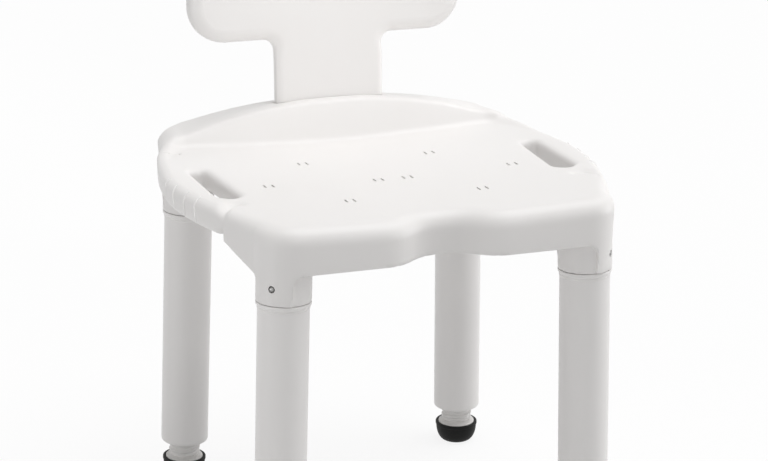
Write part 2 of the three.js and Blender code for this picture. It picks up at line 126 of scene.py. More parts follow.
SKIRT_END = DECK - 43       # lower edge of the front and rear skirts
SOCKET_END = DECK - 73
GRIP_END = DECK - 24        # underside of a grip bar
GRIP_FRONT = -108
GRIP_REAR = 100
OPEN_SIDE_X = 166           # there is no skirt outboard of this, beside a grip bar
NO_SKIRT = DECK + 60
CLIMB_START = (-163, 320.5)       # y and height of the skirt's lower edge ahead of a grip bar
CLIMB_CLEAR = 2             # and how far below the bar it ends
CLIMB_REAR = 35             # length of its climb behind the bar
RING_SECTION = [(152, DECK - 4), (166, DECK - 16), (174, DECK - 16), (188, GRIP_END)]
RING_FRONT_RISE = 7         # the bar is thinner by this much at its front end
RING_FRONT_ZONE = (90, -GRIP_FRONT)
RING_START_X = 150
RING_ROUND = 2
SLOT_FRONT = (178.5, -53, 11)     # x, y and radius of the slot's two ends
SLOT_REAR = (181, 30, 8.5)
SLOT_ROUNDS = (1.5, 8, 6.5)       # below, at the deck's edge inboard, and outboard
SLOT_ROUND_HEIGHTS = (357, 366)
SLOT_OUTBOARD = (176, 190)
GROOVE_LIP = [(169, -96), (180, -95), (189, -101), (195, -110), (199, -122)]  # ahead of a bar
GROOVE_DEPTHS = [(169, 0), (177, 3.5), (188, 6)]   # by x
GROOVE_STEP = 6             # how far behind the lip the groove is at its deepest
GROOVE_RISE = (5, 19)       # and where the bar's top is reached again
GROOVE_OUTER_SHARE = 0.5    # its depth at the outline
GROOVE_OUTER = 16
GRIP_ROUND = 9
GRIP_ROUND_ZONE = (160, 190)
SKIRT_FILLET = 9.5
SKIRT_ROUND = 1.2

RIB_THICKNESS = 3.4
RIB_END = DECK - 19
RIB_X = [42, 98]
RIB_Y = [-70, 2, 72]
RIB_MIDDLE_Y = -22
RIB_REACH = (166, 142)      # in x, and in y from there

# ---- Sizes: legs ----
SPIGOT_RADIUS = 21.5
SOCKET_BORE = 21.8
SOCKET_DEPTH = 57
SOCKET_RADIUS = 26.8
SOCKET_ROUND = 0.8
SOCKET_SUNK = 1.5           # it lies this far inside the skirts' face
SOCKET_SUNK_HEIGHT = 22     # up to this far above their lower edge
FIN_HALF = 2                # the gusset inboard of a socket: half its thickness
FIN_ROOT = 3
FIN_FLARE = 0.16            # how much it widens for each mm up the leg
FIN_HEIGHT = 32
TUBE_RADIUS = 25

# ---- Sizes: the backrest, in its own leaning frame ----
LEAN = math.asin(joint("backrest_lift")["axis"][1])
BACK_ORIGIN = np.array([0, REAR_EDGE - 44, DECK + 36])
BAR_HALF_WIDTH = 150.5
BAR_LOW = 67
BAR_HEIGHT = 160
BAR_CORNER = 38
BAR_THICKNESS = 29
BAR_ROUND = 13.5
NECK_HALF_WIDTH = 59
NECK_THICKNESS = 18
NECK_FILLET = 12
NECK_DEPTH = 58
NECK_FRONT_ROUND = (7.5, 4)       # across and deep
NECK_REAR_ROUND = (7, 8)
NECK_END_ROUND = 1
NECK_WALL = 4
NECK_HOLLOW_TOP = -10
BAR_SWELL = (BAR_LOW - 22, BAR_LOW + 14)     # where the neck thickens into the bar
RUNNING_GAP = 0.4
RECEIVER_SPARE = 0.3        # below the neck's end
RECEIVER_ROUND = 1.5


# ---- Fields: distances in mm, below zero inside the plastic ----
FAR = 1e3


def ramp(value, start, end):
    """A smooth step from 0 at the start to 1 at the end."""
    t = np.clip((value - start) / (end - start), 0, 1)
    return t * t * (3 - 2 * t)


def mix(a, b, share):
    return a + (b - a) * share


def round_and(a, b, radius):
    """What is inside both, with the edge between them rounded."""
    corner = np.hypot(np.maximum(a + radius, 0), np.maximum(b + radius, 0))
    return np.minimum(np.maximum(a, b) + radius, 0) + corner - radius


def round_or(a, b, radius):
    """What is inside either, with a fillet between them."""
    return -round_and(-a, -b, radius)


def taper_distance(x, y, start, end):
    """Distance to a capsule in plan whose ends are (x, y, radius)."""
    ax, ay, ar = start
    bx, by, br = end
    length = math.hypot(bx - ax, by - ay)
    along = ((x - ax) * (bx - ax) + (y - ay) * (by - ay)) / length ** 2
    t = np.clip(along, 0, 1)
    return np.hypot(x - mix(ax, bx, t), y - mix(ay, by, t)) - mix(ar, br, t)


def arc(x, y, radius, start, end, steps=24):
    angles = np.radians(np.linspace(start, end, steps))
    return [np.array([x + radius * math.cos(a), y + radius * math.sin(a)]) for a in angles]


def spline(points, steps=14):
    """A smooth curve through the points."""
    ends = [points[0], *points, points[-1]]
    curve = []
    for a, b, c, d in zip(ends, ends[1:], ends[2:], ends[3:]):
        for t in np.linspace(0, 1, steps, endpoint=False):
            curve.append(0.5 * (2 * b + (c - a) * t + (2 * a - 5 * b + 4 * c - d) * t ** 2
                                + (3 * b - a - 3 * c + d) * t ** 3))
    return curve


def bezier(a, b, c, d, steps=24):
    return [a * (1 - t) ** 3 + 3 * b * t * (1 - t) ** 2 + 3 * c * t ** 2 * (1 - t) + d * t ** 3
            for t in np.linspace(0, 1, steps)]


def half_outline():
    """The seat in plan from the middle of the front edge to the middle of the rear edge."""
    front_half = HALF_WIDTH - FRONT_SHOULDER
    rear_half = HALF_WIDTH - REAR_SHOULDER
    rear_y = REAR_EDGE - REAR_CORNER
    recess = FRONT_EDGE + RECESS_DEPTH
    wave = bezier(*[np.array(p, float) for p in (
        (0, recess), (RECESS_HALF_WIDTH / 2, recess),
        (RECESS_HALF_WIDTH / 2, FRONT_EDGE), (RECESS_HALF_WIDTH, FRONT_EDGE))])
    corner = arc(front_half - FRONT_CORNER, FRONT_EDGE + FRONT_CORNER, FRONT_CORNER, -90, 0)
    side = spline([np.array(p, float) for p in (
        (front_half, FRONT_EDGE + FRONT_CORNER),
        (HALF_WIDTH - WAIST_FRONT, GRIP_FRONT),
        (HALF_WIDTH - WAIST_FRONT * WAIST_SHARE, GRIP_FRONT / 2),
        (HALF_WIDTH, 0),
        (HALF_WIDTH - WAIST_REAR * WAIST_SHARE, GRIP_REAR / 2),
        (HALF_WIDTH - WAIST_REAR, GRIP_REAR),
        ((HALF_WIDTH - WAIST_REAR + 2 * rear_half) / 3, (GRIP_REAR + rear_y) / 2),
        (rear_half, rear_y))])
    rear = arc(rear_half - REAR_CORNER, rear_y, REAR_CORNER, 0, 90)
    return np.array([*wave, *corner, *side[1:], *rear, (0, REAR_EDGE)])


def outline_distance(line, x, y):
    """Signed distance to a half outline that closes along x = 0."""
    nearest = np.full(x.shape, 1e9)
    crossings = np.zeros(x.shape, int)
    for (ax, ay), (bx, by) in zip(line, line[1:]):
        dx, dy = bx - ax, by - ay
        length = dx * dx + dy * dy
        if length < 1e-9:
            continue
        t = np.clip(((x - ax) * dx + (y - ay) * dy) / length, 0, 1)
        nearest = np.minimum(nearest, (x - ax - t * dx) ** 2 + (y - ay - t * dy) ** 2)
        level = (ay > y) != (by > y)
        if abs(dy) > 1e-9:
            crossings += level & (x < ax + (y - ay) * dx / dy)
    return np.where(crossings % 2 == 1, -1, 1) * np.sqrt(nearest)


class PlanTable:
    """A distance in plan, kept on a fine grid and read between its points."""

    def __init__(self, line, low, high, step=1.0):
        self.low = np.array(low, float)
        self.step = step
        xs = np.arange(low[0], high[0] + step, step)
        ys = np.arange(low[1], high[1] + step, step)
        gx, gy = np.meshgrid(np.maximum(xs, 1e-6), ys, indexing="ij")
        self.values = outline_distance(line, gx, gy)

    def read(self, x, y):
        u = np.clip((x - self.low[0]) / self.step, 0, self.values.shape[0] - 1.001)
        v = np.clip((y - self.low[1]) / self.step, 0, self.values.shape[1] - 1.001)
        i, j = u.astype(int), v.astype(int)
        s, t = u - i, v - j
        w = self.values
        return ((w[i, j] * (1 - s) + w[i + 1, j] * s) * (1 - t)
                + (w[i, j + 1] * (1 - s) + w[i + 1, j + 1] * s) * t)


def leg_frame(name):
    """The point on a leg's axis at its socket's end, and the direction up the leg."""
    turn = joint(f"stem_turn_{name}")
    up = -np.array(turn["axis"], float)
    up /= np.linalg.norm(up)
    foot = np.array(turn["pos_m"]) / MM
    return foot + up * SOCKET_END / up[2], up


LEGS = {name: leg_frame(name) for name in LEG_NAMES}
PLAN = PlanTable(half_outline(), (0, FRONT_EDGE - 12), (HALF_WIDTH + 12, REAR_EDGE + 12))


def deck_height(x):
    return DECK - DISH_DEPTH + DISH_SLOPE * (np.hypot(x, DISH_WIDTH) - DISH_WIDTH)


def rim_height(x, y):
    arch = RIM_RISE * (1 - (x / RIM_SPAN) ** RIM_POWER)
    arch = round_and(arch, np.zeros_like(x), RIM_CREST_ROUND)
    fall = RIM_FALL * np.clip((y - REAR_EDGE + RIM_FALL_START) / RIM_FALL_LENGTH, 0, 1)
    return DECK + RIM_END + arch * (1 - fall)


def seat_top(x, y, z):
    """The deck, its raised rear rim and the fillet between them."""
    end = ramp(x, *RIM_END_ZONE)
    angle = mix(mix(RIM_WALL_ANGLE, RIM_SIDE_ANGLE, ramp(x, *RIM_SIDE_ZONE)), RIM_END_ANGLE, end)
    foot = RIM_FOOT - RIM_MOUTH * ramp(x, *RIM_MOUTH_ZONE)
    inner_wall = (z - DECK) * np.cos(angle) - (y - foot) * np.sin(angle)
    rim = round_and(z - rim_height(x, y), inner_wall, mix(*RIM_ROUND, end))
    return round_or(z - deck_height(x), rim, mix(*RIM_FILLET, end))


def skirt_end(x, y, leg_x):
    """Height of the skirts' lower edge: level at the front and rear, climbing on the sides."""
    start_y, start_height = CLIMB_START
    side = np.interp(y, [start_y, GRIP_FRONT], [start_height, GRIP_END - CLIMB_CLEAR])
    rear = np.interp(y, [GRIP_REAR, GRIP_REAR + CLIMB_REAR], [GRIP_END, SKIRT_END])
    open_side = (y > GRIP_FRONT) & (y < GRIP_REAR)
    side = np.where(y > 0, rear, side)
    side = np.where(open_side, NO_SKIRT, side)
    return np.where(x > np.where(open_side, OPEN_SIDE_X, leg_x), side, SKIRT_END)


def back_local(x, y, z):
    """A point in the backrest's leaning frame."""
    dy, dz = y - BACK_ORIGIN[1], z - BACK_ORIGIN[2]
    return x, dy * math.cos(LEAN) - dz * math.sin(LEAN), dy * math.sin(LEAN) + dz * math.cos(LEAN)


def neck_box(x, y, z, grow):
    """The space that the neck slides into, or the walls round it."""
    half = NECK_HALF_WIDTH + RUNNING_GAP + grow
    across = np.maximum(x - half, np.maximum(-RUNNING_GAP - grow - y,
                                             y - NECK_THICKNESS - RUNNING_GAP - grow))
    return np.maximum(across, -NECK_DEPTH - RECEIVER_SPARE - grow - z)


def rib_field(x, y, z, under, inside):
    """The upright plates that stiffen the deck from below."""
    half = RIB_THICKNESS / 2
    plates = np.full(x.shape, FAR)
    for place in RIB_X:
        ends = np.abs(y - RIB_MIDDLE_Y) - RIB_REACH[1] + half
        plates = np.minimum(plates, np.maximum(np.abs(x - place), ends))
    for place in RIB_Y:
        plates = np.minimum(plates, np.maximum(np.abs(y - place), x - RIB_REACH[0] + half))
    plates = plates - half
    return np.maximum(np.maximum(plates, RIB_END - z), np.maximum(under, inside))


def leg_coordinates(x, y, z):
    """Where a point of one half lies from its nearer leg: in plan, up the leg and out from it."""
    front = y < 0
    centre_x, centre_y, up_x, up_y, up_z = [
        np.where(front, *pair) for pair in zip(leg_numbers("front_left"), leg_numbers("rear_left"))]
    dx, dy, dz = x - centre_x, np.abs(y) - centre_y, z - SOCKET_END
    height = dz * up_z - dx * up_x - dy * up_y
    radius = np.sqrt(np.maximum(dx ** 2 + dy ** 2 + dz ** 2 - height ** 2, 0))
    return dx, dy, height, radius, centre_x


def leg_numbers(name):
    """A leg's place at its socket's end, and the size of each part of its direction."""
    centre, up = LEGS[name]
    return abs(centre[0]), abs(centre[1]), abs(up[0]), abs(up[1]), up[2]


def groove_depth(x, y):
    """How far a grip bar's nose lies below the lip ahead of it."""
    behind = np.full(x.shape, FAR)
    for start, end in zip(GROOVE_LIP, GROOVE_LIP[1:]):
        behind = np.minimum(behind, taper_distance(x, y, (*start, 0), (*end, 0)))
    depth = np.interp(x, *zip(*GROOVE_DEPTHS))
    depth = depth * ramp(behind, 0, GROOVE_STEP) * (1 - ramp(behind, *GROOVE_RISE))
    return np.where(y > np.interp(x, *zip(*GROOVE_LIP)), depth, 0)


def seat_field(points):
    """The whole seat moulding. It is the same on both sides, so x is taken without its sign."""
    x, y, z = np.abs(points[:, 0]), points[:, 1], points[:, 2]
    dx, dy, height, radius, centre_x = leg_coordinates(x, y, z)
    draft = mix(DRAFT, REAR_DRAFT, ramp(y, *REAR_DRAFT_ZONE))
    draft = mix(draft, FRONT_DRAFT, ramp(-y, *FRONT_DRAFT_ZONE))
    side = PLAN.read(x, y) + draft * np.maximum(DECK - z, 0)
    sunk = groove_depth(x, y) * mix(GROOVE_OUTER_SHARE, 1, ramp(-side, 0, GROOVE_OUTER))
    upper = seat_top(x, y, z) + sunk
    edge = mix(EDGE_RADIUS, LOBE_RADIUS, ramp(-y, *LOBE_ZONE))
    edge = mix(edge, REAR_RADIUS, ramp(y, *REAR_ZONE_Y) * ramp(x, *REAR_ZONE_X))
    body = round_and(side, upper, edge)
    under = upper + INSIDE_CLEAR

    # The skirts end level, and come down flush with each socket round the outside of the leg.
    corner = np.maximum(-dx, -dy)
    kept = round_or(skirt_end(x, y, centre_x) - z, corner, SKIRT_FILLET)
    ceiling = upper + DECK_THICKNESS + RIM_THICKNESS * ramp(y, *RIM_THICKNESS_ZONE)
    cavity = round_and(side + WALL, ceiling, edge - CAVITY_TIGHTER)
    skirts = round_and(np.maximum(body, -cavity), kept, SKIRT_ROUND)
    block = np.maximum(body, corner)
    proud = np.minimum(body + SOCKET_SUNK, z - SKIRT_END - SOCKET_SUNK_HEIGHT)
    post = np.maximum(radius - SOCKET_RADIUS, np.maximum(under, proud))
    inward = -(dx + dy) / math.sqrt(2)
    fin = np.maximum(np.abs(dx - dy) / math.sqrt(2) - FIN_HALF, SOCKET_RADIUS - FIN_ROOT - inward)
    fin = np.maximum(fin, inward - SOCKET_RADIUS - FIN_FLARE * np.clip(height, 0, FIN_HEIGHT))
    fin = np.maximum(fin, under)

    # The ring round each hand-hold is solid: a thick bar outboard, a thinner wall inboard.
    ring_low = np.interp(x, *zip(*RING_SECTION)) + RING_FRONT_RISE * ramp(-y, *RING_FRONT_ZONE)
    ring = round_and(body, ring_low - z, GRIP_ROUND * ramp(x, *GRIP_ROUND_ZONE))
    ring_ends = np.maximum(GRIP_FRONT - y, y - GRIP_REAR)
    ring = round_and(ring, np.maximum(RING_START_X - x, ring_ends), RING_ROUND)

    bx, by, bz = back_local(x, y, z)
    holder = np.maximum(neck_box(bx, by, bz, WALL), under)
    solid = skirts
    for more in (block, post, fin, ring, holder, rib_field(x, y, z, under, side + INSIDE_CLEAR)):
        solid = np.minimum(solid, more)

    slot = taper_distance(x, y, SLOT_FRONT, SLOT_REAR)
    low, inboard, outboard = SLOT_ROUNDS
    soft = mix(mix(low, inboard, ramp(z, *SLOT_ROUND_HEIGHTS)), outboard, ramp(x, *SLOT_OUTBOARD))
    solid = round_and(solid, -slot, soft)
    solid = round_and(solid, -height, SOCKET_ROUND)
    solid = np.maximum(solid, -np.maximum(radius - SOCKET_BORE, height - SOCKET_DEPTH))
    return round_and(solid, -neck_box(bx, by, bz, 0), RECEIVER_ROUND)


def back_field(points):
    """The backrest in its leaning frame: a thick bar on a thinner, narrower neck."""
    x, y, z = np.abs(points[:, 0]), points[:, 1], points[:, 2]
    middle = BAR_LOW + BAR_HEIGHT / 2
    bar = round_and(x - BAR_HALF_WIDTH, np.abs(z - middle) - BAR_HEIGHT / 2, BAR_CORNER)
    neck = np.maximum(x - NECK_HALF_WIDTH, z - middle)
    plan = round_or(bar, neck, NECK_FILLET)
    thick = ramp(z, *BAR_SWELL)
    across, deep = [mix(size, BAR_ROUND, thick) for size in NECK_FRONT_ROUND]
    front = round_and(plan, -y * across / deep, across)
    across, deep = [mix(size, BAR_ROUND, thick) for size in NECK_REAR_ROUND]
    rear = round_and(plan, (y - mix(NECK_THICKNESS, BAR_THICKNESS, thick)) * across / deep, across)
    body = round_and(np.maximum(front, rear), -NECK_DEPTH - z, NECK_END_ROUND)
    hollow = np.maximum(NECK_WALL - y, y - NECK_THICKNESS + NECK_WALL)
    hollow = np.maximum(x - NECK_HALF_WIDTH + NECK_WALL, hollow)
    return np.maximum(body, -np.maximum(hollow, z - NECK_HOLLOW_TOP))


# ---- Meshes ----
SLOPE_REACH = 0.4           # a field's slope is read over this distance to each side
CENTRE_PULL = 0.05          # how strongly a vertex keeps to the middle of its crossings
LONGEST_MOVE = 0.8          # in grid steps
LONGEST_STEP = 0.5


def gradient(field, points):
    """Which way, and how steeply, a field rises at each point."""
    steps = np.eye(3) * SLOPE_REACH
    rises = [field(points + step) - field(points - step) for step in steps]
    return np.stack([rise / (2 * SLOPE_REACH) for rise in rises], 1)


def crossings(values, step, low):
    """Where the grid's edges cross the surface, and the four cells round each crossing."""
    points, cells, flips = [], [], []
    shape = np.array(values.shape) - 1
    for axis in range(3):
        first = np.take(values, range(values.shape[axis] - 1), axis)
        second = np.take(values, range(1, values.shape[axis]), axis)
        cross = (first < 0) != (second < 0)
        index = np.argwhere(cross)
        a, b = first[cross], second[cross]
        place = index.astype(float)
        place[:, axis] += a / (a - b)
        points.append(low + place * step)
        ring = []
        for du, dv in ((0, 0), (-1, 0), (-1, -1), (0, -1)):
            cell = index.copy()
            cell[:, (axis + 1) % 3] += du
            cell[:, (axis + 2) % 3] += dv
            ring.append(np.ravel_multi_index(cell.T, shape))
        cells.append(np.stack(ring, 1))
        flips.append(a > 0)
    return np.concatenate(points), np.concatenate(cells), np.concatenate(flips)


def contour(field, low, high, step):
    """Vertices and quads on a field's zero level. Each vertex sits where the planes of its
    cell's crossings meet, so narrow edges stay straight."""
    low = np.array(low, float)
    sizes = [int((b - a) / step) + 2 for a, b in zip(low, high)]
    grid = np.stack(np.meshgrid(*[a + step * np.arange(n) for a, n in zip(low, sizes)],
                                indexing="ij"), -1).reshape(-1, 3)
    values = field(grid).reshape(sizes)
    points, cells, flips = crossings(values, step, low)
    normals = gradient(field, points)
    normals /= np.linalg.norm(normals, axis=1)[:, None] + 1e-9
    used, slots = np.unique(cells, return_inverse=True)
    slots = slots.reshape(-1, 4)

    def gather(weights):
        return np.bincount(slots.ravel(), np.repeat(weights, 4), len(used))

    count = gather(np.ones(len(points)))
    centre = np.stack([gather(points[:, k]) for k in range(3)], 1) / count[:, None]
    plane = np.sum(normals * points, 1)
    matrix = np.empty((len(used), 3, 3))
    for i in range(3):
        for j in range(3):
            matrix[:, i, j] = gather(normals[:, i] * normals[:, j])
    right = np.stack([gather(normals[:, k] * plane) for k in range(3)], 1)
    right -= np.einsum("nij,nj->ni", matrix, centre)
    move = np.linalg.solve(matrix + CENTRE_PULL * np.eye(3), right[:, :, None])[:, :, 0]
    vertices = centre + np.clip(move, -LONGEST_MOVE * step, LONGEST_MOVE * step)
    for _ in range(2):
        slope = gradient(field, vertices)
        change = field(vertices) / (np.sum(slope ** 2, 1) + 1e-9)
        vertices -= slope * np.clip(change, -LONGEST_STEP * step, LONGEST_STEP * step)[:, None]
    quads = np.where(flips[:, None], slots[:, ::-1], slots)
    return vertices, quads


def in_scene(name, data):
    """A new object in the scene's collection."""
    obj = bpy.data.objects.new(name, data)
    bpy.context.scene.collection.objects.link(obj)
    return obj


def make_object(name, vertices, faces, smooth_angle=50):
    """A mesh object in metres, smooth but for edges sharper than the angle."""
    mesh = bpy.data.meshes.new(name)
    mesh.from_pydata((np.asarray(vertices) * MM).tolist(), [], [list(map(int, f)) for f in faces])
    mesh.validate()
    mesh.polygons.foreach_set("use_smooth", [True] * len(mesh.polygons))
    mesh.set_sharp_from_angle(angle=math.radians(smooth_angle))
    return in_scene(name, mesh)


# ---- Turned pieces ----
TURNED_SMOOTH_ANGLE = 40


def filleted(corners, steps=6):
    """A profile of (radius, height, rounding) corners with each rounding put in."""
    points = [np.array(c[:2], float) for c in corners]
    result = []
    for i, (point, corner) in enumerate(zip(points, corners)):
        size = corner[2] if len(corner) > 2 else 0
        if size == 0 or i in (0, len(points) - 1):
            result.append(point)
            continue
        before, after = points[i - 1] - point, points[i + 1] - point
        a, b = np.linalg.norm(before), np.linalg.norm(after)
        half = math.acos(np.clip(before @ after / (a * b), -1, 1)) / 2
        reach = min(size / math.tan(half), 0.49 * a, 0.49 * b)
        for t in np.linspace(0, 1, steps + 1):
            start, end = point + before / a * reach, point + after / b * reach
            result.append(start * (1 - t) ** 2 + 2 * point * t * (1 - t) + end * t ** 2)
    return np.array(result)


def axes_along(up):
    """Three square axes, of which the last points along the one given."""
    up = np.array(up, float) / np.linalg.norm(up)
    across = np.cross((0, 1, 0) if abs(up[1]) < 0.9 else (0, 0, 1), up)
    across /= np.linalg.norm(across)
    return across, np.cross(up, across), up


def turned(name, profile, origin, up, segments=96, ripple=None):
    """A closed body turned round an axis. The profile runs from the bottom of the axis out and up
    to its top, or closes on itself; ripple(radius, height, angle) may move a radius."""
    angles = np.linspace(0, 2 * math.pi, segments, endpoint=False)
    radii = np.repeat(profile[:, :1], segments, 1)
    heights = np.repeat(profile[:, 1:], segments, 1)
    if ripple:
        radii = ripple(radii, heights, angles[None, :])
    across, along, up = axes_along(up)
    rings = (radii[..., None] * (np.cos(angles)[:, None] * across + np.sin(angles)[:, None] * along)
             + heights[..., None] * up + np.array(origin))
    vertices = rings.reshape(-1, 3)
    row, turn = np.meshgrid(np.arange(len(profile) - 1), np.arange(segments), indexing="ij")
    following = (turn + 1) % segments
    here, above = row * segments, (row + 1) * segments
    quads = np.stack([here + turn, here + following, above + following, above + turn], -1)
    obj = make_object(name, vertices, quads.reshape(-1, 4), TURNED_SMOOTH_ANGLE)
    work = bmesh.new()
    work.from_mesh(obj.data)
    bmesh.ops.remove_doubles(work, verts=work.verts, dist=1e-6)
    bmesh.ops.dissolve_degenerate(work, edges=work.edges, dist=1e-7)
    bmesh.ops.recalc_face_normals(work, faces=work.faces)
    work.to_mesh(obj.data)
    work.free()
    obj.data.set_sharp_from_angle(angle=math.radians(TURNED_SMOOTH_ANGLE))
    return obj


# Heights along a leg are counted from the lower end of its socket.
FLOOR = -SOCKET_END / LEGS["front_left"][1][2]
FLANGE_TOP = FLOOR + 23.5
FLANGE_THICKNESS = 5
FLANGE_RADIUS = 19.75
TUBE_END = FLOOR + 40.6
TUBE_WALL = 3
LIP_BORE = 17.3             # the tube's lower end closes in round the stem
LIP_THICKNESS = 6
COLLAR_LINE = 0.5           # height of the fine line below the collar
SEAM = 0.6                  # between the collar and the socket
SPIGOT_WALL = 3
SPIGOT_LENGTH = 55
THREAD_RADIUS = 16.5
THREAD_ROOT = 14.6
THREAD_PITCH = 6.35
THREAD_TOP = FLANGE_TOP + 2 + 25 * THREAD_PITCH
THREAD_START = FLANGE_TOP + 1.6
THREAD_ROWS = 12            # rows of vertices in each turn
STEM_BORE = 10
PEG_RADIUS = 6              # below the flange, in the rubber
PEG_LENGTH = 9
RUBBER_GAP = 0.3
FOOT_RADIUS = 23
FOOT_TOP = FLOOR + 22
FOOT_BEAD = 0.7             # how far the rim stands out from the bowl
BOWL_HEIGHT = 18
CONTACT_RADIUS = 12.5
BUTTON_HEIGHT = 16.5
BUTTON_RADIUS = 2.5
BUTTON_FLANGE = (4.5, 16.8, 17.6)     # its radius, and its two faces from the leg's axis
BUTTON_TIP = 27.6
HOLE_RADIUS = 3.4
COUNTERSINK_RADIUS = 3.9


def leg_tube(name):
    """A leg tube with its collar, and the spigot above it that the socket takes."""
    origin, up = LEGS[name]
    inner = TUBE_RADIUS - TUBE_WALL
    line = TUBE_RADIUS + COLLAR_LINE
    spigot_bore = SPIGOT_RADIUS - SPIGOT_WALL
    lip_top = TUBE_END + LIP_THICKNESS
    profile = filleted([
        (LIP_BORE, lip_top), (LIP_BORE, TUBE_END, 1.2), (TUBE_RADIUS, TUBE_END, 6),
        (TUBE_RADIUS, -7.6, 0.5), (line, -7, 0.4), (line, -6, 0.4), (TUBE_RADIUS + 0.1, -5.4, 0.5),
        (SOCKET_RADIUS, -3, 1.2), (SOCKET_RADIUS, -SEAM, 0.9), (SPIGOT_RADIUS, -SEAM),
        (SPIGOT_RADIUS, SPIGOT_LENGTH, 1), (spigot_bore, SPIGOT_LENGTH), (spigot_bore, 0),
        (inner, -8), (inner, lip_top), (LIP_BORE, lip_top)])
    return turned(f"tube_{name}", profile, origin, up)


def thread_ripple(radii, heights, angles):
    """A right-handed rounded thread that runs out at both ends."""
    on_thread = (radii > THREAD_ROOT - 0.01) & (heights > FLANGE_TOP + 1.4)
    turns = heights / THREAD_PITCH - angles / (2 * math.pi)
    wave = 0.5 + 0.5 * np.cos(2 * math.pi * turns)
    crest = np.clip(1.35 * wave - 0.1, 0, 1)
    ends = ramp(heights, FLANGE_TOP + 1.5, FLANGE_TOP + 3)
    ends = ends * ramp(-heights, -THREAD_TOP, -THREAD_TOP + 4)
    raised = THREAD_ROOT + (THREAD_RADIUS - THREAD_ROOT) * crest * ends
    return np.where(on_thread, raised, radii)


def foot_stem(name):
    """A threaded post on a flange, with the peg below that holds the rubber foot."""
    origin, up = LEGS[name]
    base = FLANGE_TOP - FLANGE_THICKNESS
    lower = filleted([
        (0, base - PEG_LENGTH), (PEG_RADIUS, base - PEG_LENGTH, 1), (PEG_RADIUS, base),
        (FLANGE_RADIUS, base, 0.8), (FLANGE_RADIUS, FLANGE_TOP - 0.6, 1.2),
        (THREAD_RADIUS, FLANGE_TOP + 0.4, 0.6), (THREAD_ROOT, FLANGE_TOP + 1.3)])
    rows = np.arange(THREAD_START, THREAD_TOP, THREAD_PITCH / THREAD_ROWS)
    thread = np.stack([np.full(len(rows), THREAD_ROOT), rows], 1)
    upper = filleted([
        (THREAD_ROOT, THREAD_TOP), (STEM_BORE, THREAD_TOP, 0.8), (STEM_BORE, FLANGE_TOP, 2),
        (0, FLANGE_TOP)])
    profile = np.concatenate([lower, thread, upper])
    return turned(f"stem_{name}", profile, origin, up, 56, thread_ripple)


def rubber_foot(name):
    """A rubber bowl on the stem's flange, flat where it stands on the floor."""
    origin, up = LEGS[name]
    base = FLANGE_TOP - FLANGE_THICKNESS - RUBBER_GAP
    flange_bore = FLANGE_RADIUS + RUBBER_GAP
    peg_bore = PEG_RADIUS + RUBBER_GAP
    side = FOOT_RADIUS - FOOT_BEAD
    bowl = [(0, FLOOR)]
    for angle in np.radians(np.linspace(0, 88, 26)):
        bowl.append((CONTACT_RADIUS + (side - CONTACT_RADIUS) * math.sin(angle),
                     FLOOR + BOWL_HEIGHT * (1 - math.cos(angle))))
    rim = filleted([
        bowl[-1], (side, FOOT_TOP - 3.6, 0.4), (FOOT_RADIUS, FOOT_TOP - 3.1, 0.4),
        (FOOT_RADIUS, FOOT_TOP, 0.9), (flange_bore, FOOT_TOP, 0.7), (flange_bore, base, 0.5),
        (peg_bore, base), (peg_bore, base - PEG_LENGTH), (0, base - PEG_LENGTH)])
    obj = turned(f"foot_{name}", np.concatenate([bowl[:-1], rim]), origin, up)
    for vertex in obj.data.vertices:
        vertex.co.z = max(vertex.co.z, 0)
    return obj


def button_axis(name):
    """Where a snap button's axis leaves the leg's, and its direction outwards."""
    origin, up = LEGS[name]
    return origin + up * BUTTON_HEIGHT, -np.array(joint(f"button_press_{name}")["axis"])


def snap_button(name):
    """A domed pin with a flange that stops it inside the spigot."""
    flange, inner_face, outer_face = BUTTON_FLANGE
    profile = filleted([
        (0, inner_face), (flange, inner_face, 0.4), (flange, outer_face),
        (BUTTON_RADIUS, outer_face), (BUTTON_RADIUS, BUTTON_TIP - 1.4, 1.5),
        (1.4, BUTTON_TIP - 0.1, 1.5), (0, BUTTON_TIP)])
    return turned(f"button_{name}", profile, *button_axis(name), 40)


# ---- Nodes ----
def feed(tree, socket, value):
    """Links another node's output to a socket, or sets the socket to a number or a colour."""
    if isinstance(value, bpy.types.NodeSocket):
        tree.links.new(value, socket)
    else:
        socket.default_value = value


def add_node(tree, kind, settings=None, **inputs):
    """A new node. An input's name is given with _ for each space."""
    node = tree.nodes.new(kind)
    for name, value in (settings or {}).items():
        setattr(node, name, value)
    for label, value in inputs.items():
        feed(tree, node.inputs[label.replace("_", " ")], value)
    return node


def sums(tree, operation, first, second):
    """A Math node of two values, each of them a number or a socket."""
    node = add_node(tree, "ShaderNodeMath", {"operation": operation})
    for socket, value in zip(node.inputs, (first, second)):
        feed(tree, socket, value)
    return node.outputs[0]


# ---- Geometry Nodes: what repeats, and what follows a line ----
def new_tree(name, inputs):
    """A geometry tree with a Geometry input and the sizes that it is given."""
    tree = bpy.data.node_groups.new(name, "GeometryNodeTree")
    tree.interface.new_socket("Geometry", in_out="INPUT", socket_type="NodeSocketGeometry")
    for label in inputs:
        tree.interface.new_socket(label, in_out="INPUT", socket_type="NodeSocketFloat")
    tree.interface.new_socket("Material", in_out="INPUT", socket_type="NodeSocketMaterial")
    tree.interface.new_socket("Geometry", in_out="OUTPUT", socket_type="NodeSocketGeometry")
    return tree, tree.nodes.new("NodeGroupInput"), tree.nodes.new("NodeGroupOutput")


def finish_tree(tree, source, given, out):
    """Makes what the tree built real, and gives it the material."""
    realize = add_node(tree, "GeometryNodeRealizeInstances", Geometry=source)
    paint = add_node(tree, "GeometryNodeSetMaterial", Geometry=realize.outputs["Geometry"],
                     Material=given.outputs["Material"])
    tree.links.new(paint.outputs["Geometry"], out.inputs["Geometry"])


